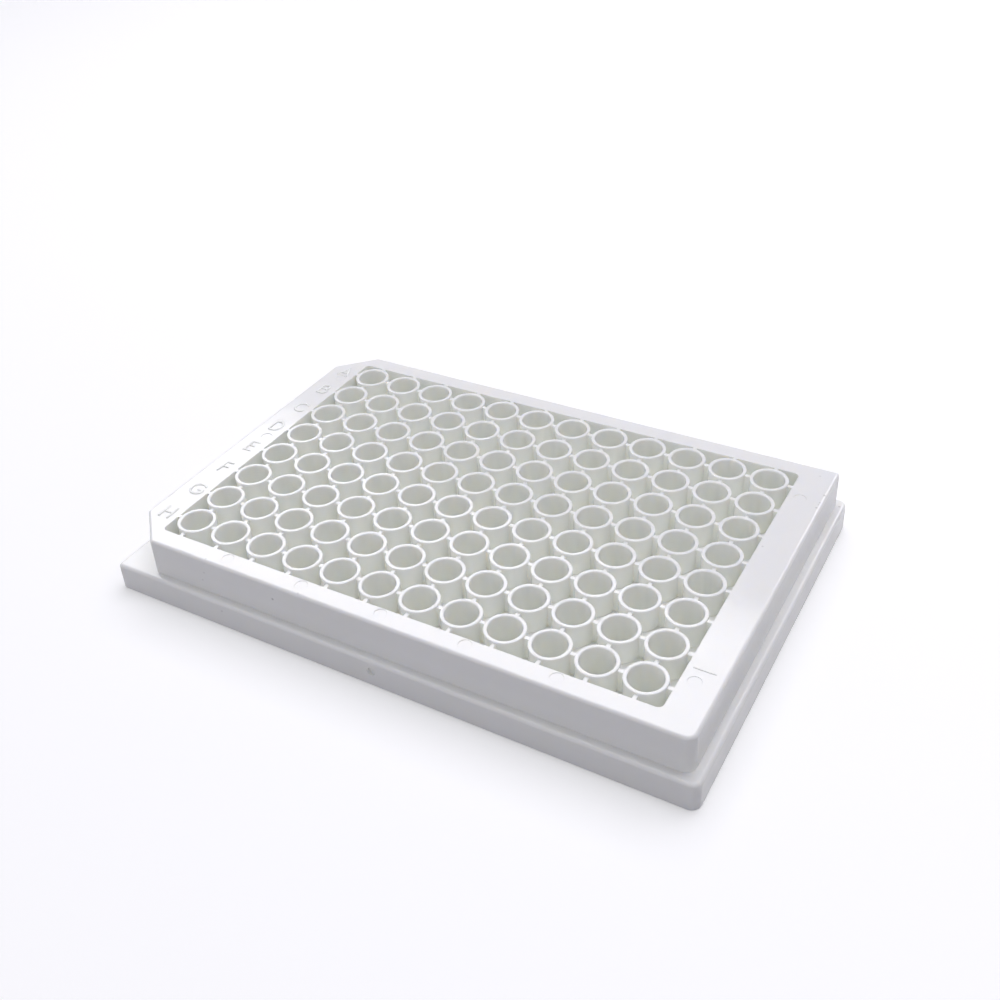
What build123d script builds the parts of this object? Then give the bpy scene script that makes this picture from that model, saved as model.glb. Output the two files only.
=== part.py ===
"""A 96-well plate, one white polystyrene moulding: a skirted frame round a field of eight by
twelve chimney wells.

Millimetres, +Z up. The origin is the middle of the footprint, on the surface the plate stands on.
+X runs along the rows from column 1 to column 12, and +Y from row H to row A.
"""
import math
import os

from build123d import *

# ---- driving dimensions ----
FOOT_L = 127.76          # footprint over the skirt, along the rows
FOOT_W = 85.48           # footprint over the skirt, across the rows
HEIGHT = 14.6            # from the foot to the well rims
RIM_STAND = 0.45         # the rims stand this far above the deck
FLANGE_H = 6.1           # foot to the top of the skirt's ledge
LEDGE = 2.04             # width of that ledge, all round
BODY_LEAN = 0.2          # the frame's wall leans in this much from ledge to deck
SKIRT_LEAN = 0.22        # and the skirt's wall from foot to ledge

PITCH = 9.0              # well to well, both ways
COLUMNS, ROWS = 12, 8
BORE_TOP_R = 3.2         # well mouth
BORE_FLOOR_R = 3.15      # well bottom, the difference is the draft
WELL_DEPTH = 10.9
WELL_WALL = 0.75         # at the mouth
WEB_T = 0.8              # webs that tie each well to its neighbours and to the frame
BOTTOM_T = 1.2           # closes each well
RECESS_DEPTH = 5.0       # from the rims to the plate that ties the wells together
PLATE_T = 1.2

FIELD_L = 108.8          # opening in the deck, along the rows
FIELD_W = 72.9           # and across them
FIELD_CORNER_R = 1.2

SKIRT_T = 1.6            # walls of the moulding
FRAME_T = 1.3
FIELD_WALL_T = 1.2

NOTCH = 7.7              # cut-off corners of the frame, both at the column 1 end
NOTCH_EDGE_R = 0.6       # where a cut-off meets the sides
FRAME_NEAR_R = 2.2       # frame's corner at H12
FRAME_FAR_R = 0.95       # and at A12
SKIRT_CORNER_R = 2.0     # skirt's corners at the column 12 end
SKIRT_NOTCH_END_R = 1.0  # and at the column 1 end
DECK_EDGE_R = 0.65       # rounded edges
LEDGE_EDGE_R = 0.7
RIM_EDGE_R = 0.15
FOOT_EDGE_R = 0.25

PIN_R = 1.27             # witness marks of the ejector pins, sunk in the deck
PIN_SUNK = 0.1
PIN_STEP = 18.0          # along the near side, between two columns
PIN_IN = 1.45            # from the edge of the well field to the marks of the near side
PIN_IN_END = 2.5         # and to those of the two ends
PIN_END_OFF = 28.4       # the ends' outer marks lie this far off the plate's middle
GATE_R = 0.85            # small round pit left by the gate, in the near skirt
GATE_SUNK = 0.6
GATE_H = 3.45
GATE_X = -0.25

# ---- sizes that follow ----
DECK_Z = HEIGHT - RIM_STAND
WELL_R = BORE_TOP_R + WELL_WALL
WELL_FLOOR_Z = HEIGHT - WELL_DEPTH
RECESS_Z = HEIGHT - RECESS_DEPTH
PLATE_Z = RECESS_Z - PLATE_T
BODY_L, BODY_W = FOOT_L - 2 * LEDGE, FOOT_W - 2 * LEDGE
CELLS = GridLocations(PITCH, PITCH, COLUMNS, ROWS)
PIN_ROW = FIELD_W / 2 + PIN_IN
PIN_END = FIELD_L / 2 + PIN_IN_END


def rounded(length, width, near_r, far_r, notch=0.0, notch_r=0.0):
    """A centred rectangle, rounded at its column 12 end; the other end is cut off or rounded."""
    a, b = length / 2, width / 2
    if notch:
        outline = Polyline((-a + notch, -b), (a, -b), (a, b), (-a + notch, b),
                           (-a, b - notch), (-a, -b + notch), close=True)
    else:
        outline = Polyline((-a, -b), (a, -b), (a, b), (-a, b), close=True)
    face = make_face(outline)
    for radius, side in ((near_r, 0), (far_r, -1)):
        plain_end = face.vertices().filter_by(lambda v: v.X > 0)
        face = fillet(plain_end.sort_by(Axis.Y)[side], radius)
    if notch_r:
        far_end = [v for v in face.vertices() if v.X < -a + notch + 0.01]
        face = fillet(far_end, notch_r)
    return face


def prism(face, low, high, lean=0.0):
    """The face raised from low to high, its sides leaning in by lean."""
    taper = math.degrees(math.atan2(lean, high - low))
    return extrude(Pos(0, 0, low) * face, high - low, taper=taper)


# ---- frame, solid for now ----
skirt = prism(rounded(FOOT_L, FOOT_W, SKIRT_CORNER_R, SKIRT_CORNER_R, 0, SKIRT_NOTCH_END_R),
              0, FLANGE_H, SKIRT_LEAN)
frame = prism(rounded(BODY_L, BODY_W, FRAME_NEAR_R, FRAME_FAR_R, NOTCH, NOTCH_EDGE_R),
              FLANGE_H, DECK_Z, BODY_LEAN)
skirt = fillet(skirt.faces().sort_by(Axis.Z)[-1].edges(), LEDGE_EDGE_R)
skirt = fillet(skirt.faces().sort_by(Axis.Z)[0].edges(), FOOT_EDGE_R)
frame = fillet(frame.faces().sort_by(Axis.Z)[-1].edges(), DECK_EDGE_R)
body = skirt + frame

# ---- hollow under the ledge and under the deck ----
under_ledge = prism(rounded(FOOT_L - 2 * SKIRT_T, FOOT_W - 2 * SKIRT_T,
                            SKIRT_CORNER_R / 2, SKIRT_CORNER_R / 2, 0, SKIRT_NOTCH_END_R / 2),
                    0, FLANGE_H - FRAME_T, SKIRT_LEAN)
notch_in = NOTCH - FRAME_T * (2 - math.sqrt(2))
under_deck = prism(rounded(BODY_L - 2 * FRAME_T, BODY_W - 2 * FRAME_T,
                           FRAME_NEAR_R / 2, FRAME_FAR_R / 2, notch_in, NOTCH_EDGE_R / 2),
                   FLANGE_H - FRAME_T, DECK_Z - FRAME_T, BODY_LEAN)
body -= under_ledge + under_deck

# ---- well field: a block down to the plate's underside, then all that is open above the plate ----
block = extrude(Pos(0, 0, PLATE_Z) * RectangleRounded(FIELD_L + 2 * FIELD_WALL_T,
                                                      FIELD_W + 2 * FIELD_WALL_T,
                                                      FIELD_CORNER_R + FIELD_WALL_T),
                DECK_Z - DECK_EDGE_R - PLATE_Z)
body += block

open_between = RectangleRounded(FIELD_L, FIELD_W, FIELD_CORNER_R)
open_between -= CELLS * Circle(WELL_R)
for row in range(ROWS):
    y = (row - (ROWS - 1) / 2) * PITCH
    open_between -= Pos(0, y) * Rectangle(FIELD_L + 1, WEB_T)
for column in range(COLUMNS):
    x = (column - (COLUMNS - 1) / 2) * PITCH
    open_between -= Pos(x, 0) * Rectangle(WEB_T, FIELD_W + 1)
body -= extrude(Pos(0, 0, RECESS_Z) * open_between, HEIGHT - RECESS_Z)

chimney = extrude(Pos(0, 0, WELL_FLOOR_Z - BOTTOM_T) * Circle(WELL_R), WELL_DEPTH + BOTTOM_T)
chimney = fillet(chimney.edges().sort_by(Axis.Z)[-1], RIM_EDGE_R)
body += [Pos(p.position) * chimney for p in CELLS]

with BuildPart() as well:
    with BuildSketch(Plane.XZ):
        with BuildLine():
            top = BORE_TOP_R + RIM_EDGE_R
            lean = (BORE_TOP_R - BORE_FLOOR_R) / WELL_DEPTH
            Polyline((0, WELL_FLOOR_Z), (BORE_FLOOR_R, WELL_FLOOR_Z),
                     (BORE_TOP_R - lean * RIM_EDGE_R, HEIGHT - RIM_EDGE_R),
                     (top, HEIGHT + 0.0001), (0, HEIGHT + 0.0001), close=True)
        make_face()
    revolve(axis=Axis.Z)
body -= [Pos(p.position) * well.part for p in CELLS]

# ---- witness marks ----
marks = [(step * PIN_STEP, -PIN_ROW) for step in range(-2, 3)]
marks += [(PIN_END, -PIN_END_OFF), (PIN_END, PIN_END_OFF), (-PIN_END, PIN_END_OFF),
          (-PIN_END, 0)]
body -= [Pos(x, y, DECK_Z - PIN_SUNK / 2) * Cylinder(PIN_R, PIN_SUNK) for x, y in marks]
gate_y = -FOOT_W / 2 + SKIRT_LEAN * GATE_H / FLANGE_H + GATE_SUNK
body -= Pos(GATE_X, gate_y - 0.5, GATE_H) * Rot(90, 0, 0) * Cylinder(GATE_R, 1.0)

body.label = "well_plate"
os.makedirs("parts", exist_ok=True)
export_step(body, "parts/well_plate.step")
solids = body.solids()
print(len(solids), "solid,", round(sum(s.volume for s in solids) / 1000, 2), "cm3, box",
      body.bounding_box())
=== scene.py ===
"""Dresses the well plate: its white plastic, the raised row letters, the floor, the light and
the camera at the photograph's angle. Metres, with the trim set out in mm."""
import math

import bmesh
import bpy
from mathutils import Matrix, Vector


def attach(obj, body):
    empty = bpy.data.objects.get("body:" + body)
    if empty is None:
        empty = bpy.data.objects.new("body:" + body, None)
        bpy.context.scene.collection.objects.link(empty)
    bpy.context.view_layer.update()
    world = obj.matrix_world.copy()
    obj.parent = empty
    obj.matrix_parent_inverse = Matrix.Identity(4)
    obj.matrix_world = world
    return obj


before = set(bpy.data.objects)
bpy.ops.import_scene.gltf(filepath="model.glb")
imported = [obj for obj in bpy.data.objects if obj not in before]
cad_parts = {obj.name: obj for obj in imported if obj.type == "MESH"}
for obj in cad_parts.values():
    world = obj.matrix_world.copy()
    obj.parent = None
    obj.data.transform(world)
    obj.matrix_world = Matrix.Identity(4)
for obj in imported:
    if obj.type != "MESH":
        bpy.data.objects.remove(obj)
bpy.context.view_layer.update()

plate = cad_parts["well_plate"]
scene = bpy.context.scene
MM = 0.001

# sizes of the plate that the trim is set out from, in mm
DECK_Z = 14.15
LEDGE_Z = 6.1
PITCH = 9.0

# raised row letters, in mm: middle of the column of letters, size, and the strokes' ridge
LETTER_X = -57.35
LETTER_H = 3.35
LETTER_W = {"A": 2.7, "B": 2.1, "C": 2.7, "D": 2.4, "E": 1.8, "F": 1.8, "G": 3.0, "H": 2.25}
STROKE_HALF = 0.26
STROKE_H = 0.2

# witness line of a mould insert on the column 12 end of the deck, in mm
INSERT_LINE = [(55.55, -25.35), (57.5, -25.35), (59.5, -25.35)]
INSERT_HALF = 0.14
INSERT_H = 0.12

# nicks and specks: place and radius in mm, and how strongly each shows. The specks are dirt; at
# the nicks the dark spot is painted shade, since the cut in the edge is not modelled
MARKS = [
    # painted shade at nicks in the deck's edge near A12, dark spots in place of the cuts
    (61.05, 31.41, 14.1, 0.3, 0.5),
    (60.9, 28.64, 14.1, 0.22, 0.4),
    (60.85, 27.88, 14.1, 0.2, 0.35),
    (60.8, 26.75, 14.1, 0.26, 0.45),
    # specks on the ledge and on the deck
    (62.65, 39.91, LEDGE_Z, 0.28, 0.45),
    (58.31, 37.5, DECK_Z, 0.25, 0.2),
    (55.27, 10.55, DECK_Z, 0.22, 0.3),
    (-39.87, -39.87, DECK_Z, 0.24, 0.25),
    (-17.1, -40.0, DECK_Z, 0.24, 0.25),
    # specks on the walls
    (61.7, 4.72, 4.0, 0.2, 0.3),
    (-23.43, -40.6, 10.65, 0.26, 0.6),
    (-40.54, -40.6, 10.87, 0.2, 0.3),
    (-41.4, -40.6, 8.74, 0.2, 0.3),
    (-35.95, -42.65, 4.16, 0.22, 0.35),
]
# dark colour of the specks' dirt, also used as painted shade at the nicks
DIRT_AND_NICK_SHADE = (0.40, 0.39, 0.37, 1)

# light, in levels of a plain world
SKY_LEVEL = 0.36
FLOOR_GLOW = 0.275
COOL = (0.95, 0.95, 1.0)
WHITE = (1, 1, 1)


# ---------------------------------------------------------------- node helpers
def new_material(name):
    m = bpy.data.materials.new(name)
    m.use_nodes = True
    m.node_tree.nodes.clear()
    return m, m.node_tree.nodes, m.node_tree.links


def node(nodes, kind, **settings):
    """A new node; in_Some_Input sets that input, any other name sets a property."""
    n = nodes.new(kind)
    for key, value in settings.items():
        if key.startswith("in_"):
            n.inputs[key[3:].replace("_", " ")].default_value = value
        else:
            setattr(n, key, value)
    return n


def noise(nodes, links, where, scale, detail, roughness):
    """Noise in the plate's own coordinates, as a factor."""
    n = node(nodes, "ShaderNodeTexNoise", in_Scale=scale, in_Detail=detail,
             in_Roughness=roughness)
    links.new(where, n.inputs["Vector"])
    return n.outputs["Fac"]


def seen_and_unseen(nodes, links, unseen, seen, surface):
    """One shader for what the camera and mirror rays see, another for the light it sends out."""
    path = node(nodes, "ShaderNodeLightPath")
    either = node(nodes, "ShaderNodeMath", operation="MAXIMUM")
    links.new(path.outputs["Is Camera Ray"], either.inputs[0])
    links.new(path.outputs["Is Glossy Ray"], either.inputs[1])
    mix = node(nodes, "ShaderNodeMixShader")
    links.new(either.outputs[0], mix.inputs[0])
    links.new(unseen, mix.inputs[1])
    links.new(seen, mix.inputs[2])
    links.new(mix.outputs[0], surface)


# ---------------------------------------------------------------- plastic
def plastic(name, edge_mm, depth_mm, marks=()):
    """White polystyrene: edges eased by edge_mm, light scattered to depth_mm under the skin."""
    m, nodes, links = new_material(name)
    out = node(nodes, "ShaderNodeOutputMaterial")
    bsdf = node(nodes, "ShaderNodeBsdfPrincipled")
    bsdf.inputs["IOR"].default_value = 1.59
    bsdf.inputs["Subsurface Weight"].default_value = 1.0 if depth_mm else 0.0
    bsdf.inputs["Subsurface Radius"].default_value = (1.0, 0.95, 0.85)
    bsdf.inputs["Subsurface Scale"].default_value = depth_mm * MM
    where = node(nodes, "ShaderNodeTexCoord").outputs["Object"]

    # faint cloudiness of the pigment
    shade = node(nodes, "ShaderNodeMapRange", in_From_Min=0.3, in_From_Max=0.7)
    links.new(noise(nodes, links, where, 90.0, 4.0, 0.55), shade.inputs["Value"])
    tint = node(nodes, "ShaderNodeMix", data_type="RGBA")
    tint.inputs["A"].default_value = (0.925, 0.935, 0.900, 1)
    tint.inputs["B"].default_value = (0.940, 0.950, 0.915, 1)
    links.new(shade.outputs["Result"], tint.inputs["Factor"])
    colour = tint.outputs["Result"]

    # specks of dirt, and painted shade at the nicks in the deck's edge, each a soft round dark
    # spot at its place on the plate
    for x, y, z, radius, strength in marks:
        gap = node(nodes, "ShaderNodeVectorMath", operation="DISTANCE")
        gap.inputs[1].default_value = (x * MM, y * MM, z * MM)
        links.new(where, gap.inputs[0])
        spot = node(nodes, "ShaderNodeMapRange", in_From_Min=radius * 0.5 * MM,
                    in_From_Max=radius * 1.3 * MM, in_To_Min=strength, in_To_Max=0.0)
        links.new(gap.outputs["Value"], spot.inputs["Value"])
        dirt_and_nick_shade_mix = node(nodes, "ShaderNodeMix", data_type="RGBA")
        dirt_and_nick_shade_mix.inputs["B"].default_value = DIRT_AND_NICK_SHADE
        links.new(spot.outputs["Result"], dirt_and_nick_shade_mix.inputs["Factor"])
        links.new(colour, dirt_and_nick_shade_mix.inputs["A"])
        colour = dirt_and_nick_shade_mix.outputs["Result"]
    links.new(colour, bsdf.inputs["Base Color"])

    # gloss differs a little from place to place
    gloss = node(nodes, "ShaderNodeMapRange", in_From_Min=0.3, in_From_Max=0.7,
                 in_To_Min=0.08, in_To_Max=0.14)
    links.new(noise(nodes, links, where, 260.0, 3.0, 0.6), gloss.inputs["Value"])
    links.new(gloss.outputs["Result"], bsdf.inputs["Roughness"])

    # the mould's fine spark texture, over slow waves of shrinkage, over eased edges
    soft_edge = node(nodes, "ShaderNodeBevel", samples=4, in_Radius=edge_mm * MM)
    slow = node(nodes, "ShaderNodeBump", in_Strength=0.25, in_Distance=0.00012)
    fine = node(nodes, "ShaderNodeBump", in_Strength=0.12, in_Distance=0.00002)
    links.new(soft_edge.outputs["Normal"], slow.inputs["Normal"])
    links.new(noise(nodes, links, where, 140.0, 1.0, 0.4), slow.inputs["Height"])
    links.new(slow.outputs["Normal"], fine.inputs["Normal"])
    links.new(noise(nodes, links, where, 3200.0, 2.0, 0.5), fine.inputs["Height"])
    links.new(fine.outputs["Normal"], bsdf.inputs["Normal"])
    links.new(bsdf.outputs["BSDF"], out.inputs["Surface"])
    return m


body_plastic = plastic("white_polystyrene", 0.12, 0.7, MARKS)
thin_plastic = plastic("white_polystyrene_thin", 0.03, 0.0)
for i in range(len(plate.material_slots)):
    plate.material_slots[i].material = body_plastic


# ---------------------------------------------------------------- raised row letters
def arc(cx, cy, rx, ry, start, end, steps=14):
    """Points on an ellipse, angles in degrees."""
    return [(cx + rx * math.cos(math.radians(start + (end - start) * i / steps)),
             cy + ry * math.sin(math.radians(start + (end - start) * i / steps)))
            for i in range(steps + 1)]


# strokes in a box of 1 by 1, read from the plate's near long side
STROKES = {
    "A": [[(0, 0), (0.5, 1), (1, 0)], [(0.18, 0.36), (0.82, 0.36)]],
    "B": [[(0, 0), (0, 1), (0.6, 1)] + arc(0.6, 0.77, 0.3, 0.23, 90, -90) + [(0, 0.54)],
          [(0.6, 0.54)] + arc(0.64, 0.27, 0.36, 0.27, 90, -90) + [(0, 0)]],
    "C": [arc(0.55, 0.5, 0.55, 0.5, 42, 318, 24)],
    "D": [[(0, 0), (0, 1), (0.45, 1)] + arc(0.45, 0.5, 0.55, 0.5, 90, -90, 20) + [(0, 0)]],
    "E": [[(0.95, 1), (0, 1), (0, 0), (0.95, 0)], [(0, 0.52), (0.8, 0.52)]],
    "F": [[(0.95, 1), (0, 1), (0, 0)], [(0, 0.52), (0.8, 0.52)]],
    "G": [arc(0.55, 0.5, 0.55, 0.5, 42, 325, 24) + [(1.0, 0.45), (0.6, 0.45)]],
    "H": [[(0, 0), (0, 1)], [(1, 0), (1, 1)], [(0, 0.52), (1, 0.52)]],
}

# half widths and heights across a ridge, its foot a little below the deck
PROFILE = [(-1.0, -0.25), (-0.9, 0.45), (-0.6, 0.85), (0.0, 1.0),
           (0.6, 0.85), (0.9, 0.45), (1.0, -0.25)]


def ridge(bm, points, half, height, z):
    """A low rounded ridge with its foot at z along a line of points in mm, closed at its ends."""
    def ring(middle, side, width=1.0, top=1.0):
        return [bm.verts.new((*(middle + side * half * u * width) * MM,
                              (z + height * min(w, top)) * MM)) for u, w in PROFILE]

    last = len(points) - 1
    rings = []
    for i, p in enumerate(points):
        p = Vector(p)
        before = (p - Vector(points[i - 1])).normalized() if i else None
        after = (Vector(points[i + 1]) - p).normalized() if i < last else None
        along = ((before or after) + (after or before)).normalized()
        side = Vector((-along.y, along.x))
        if before and after:
            side = side / max(0.6, side.dot(Vector((-after.y, after.x))))
        if not before:
            rings.append(ring(p - along * half * 0.7, side, 0.45, 0.35))
        rings.append(ring(p, side))
        if not after:
            rings.append(ring(p + along * half * 0.7, side, 0.45, 0.35))
    for a, b in zip(rings, rings[1:]):
        for j in range(len(PROFILE)):
            k = (j + 1) % len(PROFILE)
            bm.faces.new((a[j], b[j], b[k], a[k]))
    bm.faces.new(rings[0])
    bm.faces.new(list(reversed(rings[-1])))


def piece_from(bm, name, material):
    """The mesh as a smooth piece that belongs to the plate."""
    bmesh.ops.recalc_face_normals(bm, faces=bm.faces)
    mesh = bpy.data.meshes.new(name)
    bm.to_mesh(mesh)
    bm.free()
    for p in mesh.polygons:
        p.use_smooth = True
    mesh.materials.append(material)
    o = bpy.data.objects.new(name, mesh)
    scene.collection.objects.link(o)
    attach(o, "root")


for row, letter in enumerate("ABCDEFGH"):
    bm = bmesh.new()
    cy = (3.5 - row) * PITCH
    for stroke in STROKES[letter]:
        line = [(LETTER_X + (u - 0.5) * LETTER_W[letter], cy + (v - 0.5) * LETTER_H)
                for u, v in stroke]
        ridge(bm, line, STROKE_HALF, STROKE_H, DECK_Z)
    piece_from(bm, "row_letter_" + letter, thin_plastic)

bm = bmesh.new()
ridge(bm, INSERT_LINE, INSERT_HALF, INSERT_H, DECK_Z)
piece_from(bm, "insert_line", thin_plastic)

# ---------------------------------------------------------------- floor
# looks pale and lit, but sends less light up to the plate than it seems to
m, nodes, links = new_material("pale_floor")
out = node(nodes, "ShaderNodeOutputMaterial")
matte = node(nodes, "ShaderNodeBsdfDiffuse", in_Color=(0.9, 0.9, 0.9, 1))
glow = node(nodes, "ShaderNodeEmission", in_Color=(1, 1, 1, 1), in_Strength=FLOOR_GLOW)
bounce = node(nodes, "ShaderNodeBsdfDiffuse", in_Color=(0.36, 0.36, 0.37, 1))
both = node(nodes, "ShaderNodeAddShader")
links.new(matte.outputs[0], both.inputs[0])
links.new(glow.outputs[0], both.inputs[1])
seen_and_unseen(nodes, links, bounce.outputs[0], both.outputs[0], out.inputs["Surface"])
bpy.ops.mesh.primitive_plane_add(size=8, location=(0, 0, 0))
floor = bpy.context.object
floor.name = "floor"
floor.data.materials.append(m)

# ---------------------------------------------------------------- light
world = bpy.data.worlds.new("studio")
scene.world = world
world.use_nodes = True
nodes, links = world.node_tree.nodes, world.node_tree.links
nodes.clear()
sky = node(nodes, "ShaderNodeBackground", in_Color=(0.935, 0.925, 1.0, 1),
           in_Strength=SKY_LEVEL)
white = node(nodes, "ShaderNodeBackground", in_Color=(1, 1, 1, 1), in_Strength=1.0)
out = node(nodes, "ShaderNodeOutputWorld")
seen_and_unseen(nodes, links, sky.outputs[0], white.outputs[0], out.inputs["Surface"])


def softbox(name, centre, turn, size, radiance, colour, mirrored):
    """An area lamp that shines down, then turned by the angles in degrees. It is either only
    mirrored in the gloss, as a window is, or only lights the plastic."""
    light = bpy.data.lights.new(name, "AREA")
    light.shape = "RECTANGLE"
    light.size, light.size_y = size
    light.energy = radiance * math.pi * size[0] * size[1]
    light.color = colour
    o = bpy.data.objects.new(name, light)
    o.location = centre
    o.rotation_euler = [math.radians(a) for a in turn]
    o.visible_camera = False
    o.visible_glossy = mirrored
    o.visible_diffuse = not mirrored
    scene.collection.objects.link(o)


# the window that the near half of the deck mirrors, level, beyond and to the left of the plate
softbox("window_box", (-0.50, 0.388, 0.62), (0, 0, -9.25), (1.1, 0.62), 3.35, WHITE, True)
# a second one, upright behind the plate
softbox("side_window", (0.28, 0.87, 0.615), (-56, 0, -18), (0.5, 0.31), 2.6, WHITE, True)
# broad light from above and behind, which leaves the near ledge in shade
softbox("top_box", (0.05, 0.49, 0.92), (0, 0, 0), (1.0, 0.95), 2.46, (0.95, 0.94, 1.0), False)
# weak light on the near walls
softbox("front_low", (-0.30, -1.20, 0.30), (76, 0, -14), (1.6, 0.5), 0.86, COOL, False)

# ---------------------------------------------------------------- camera
cam = bpy.data.cameras.new("camera")
cam.sensor_width = 36
cam.lens = 40.511
cam.clip_start, cam.clip_end = 0.01, 30
eye = bpy.data.objects.new("camera", cam)
right = Vector((0.87022616, 0.49017299, -0.04936461))
down = Vector((0.25739124, -0.53780857, -0.80281486))
ahead = Vector((-0.42006687, 0.68592448, -0.59418132))
turn = Matrix((right, -down, -ahead)).transposed().to_4x4()
eye.matrix_world = Matrix.Translation((0.099526, -0.156282, 0.151108)) @ turn
scene.collection.objects.link(eye)
scene.camera = eye
scene.view_settings.view_transform = "Standard"
scene.cycles.diffuse_bounces = 16
scene.cycles.max_bounces = 32
